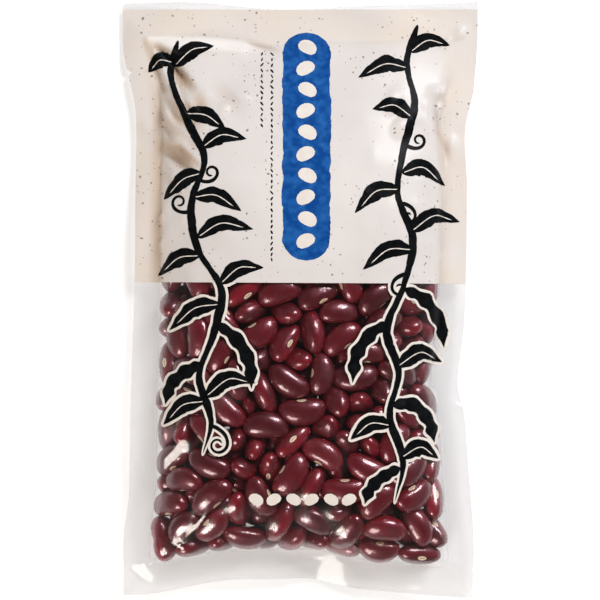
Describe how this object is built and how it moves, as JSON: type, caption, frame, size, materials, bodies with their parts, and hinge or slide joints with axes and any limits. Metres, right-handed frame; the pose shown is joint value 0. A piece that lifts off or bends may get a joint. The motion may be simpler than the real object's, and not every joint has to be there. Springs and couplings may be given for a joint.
{
  "type": "bag of dried kidney beans",
  "caption": "Flat heat-sealed clear film bag full of dried red kidney beans, lying on its back with a welded rim all round.",
  "frame": {"origin": "middle of the bag's outline, on the surface that it lies on", "axes": "+X across the bag to the viewer's right, +Y along it towards the top seal, +Z out of its shown face"},
  "size_m": [0.1364, 0.2268, 0.0258],
  "materials": {
    "film_over_beans": "clear gloss film over dark red beans",
    "film": "clear gloss film, printed cream over its upper half",
    "beans": "smooth polished bean skin",
    "print_black": "ink printed on film",
    "print_cream": "ink printed on film",
    "print_blue": "ink printed on film"
  },
  "bodies": {
    "root": {"bag": "film_over_beans"}
  },
  "joints": []
}
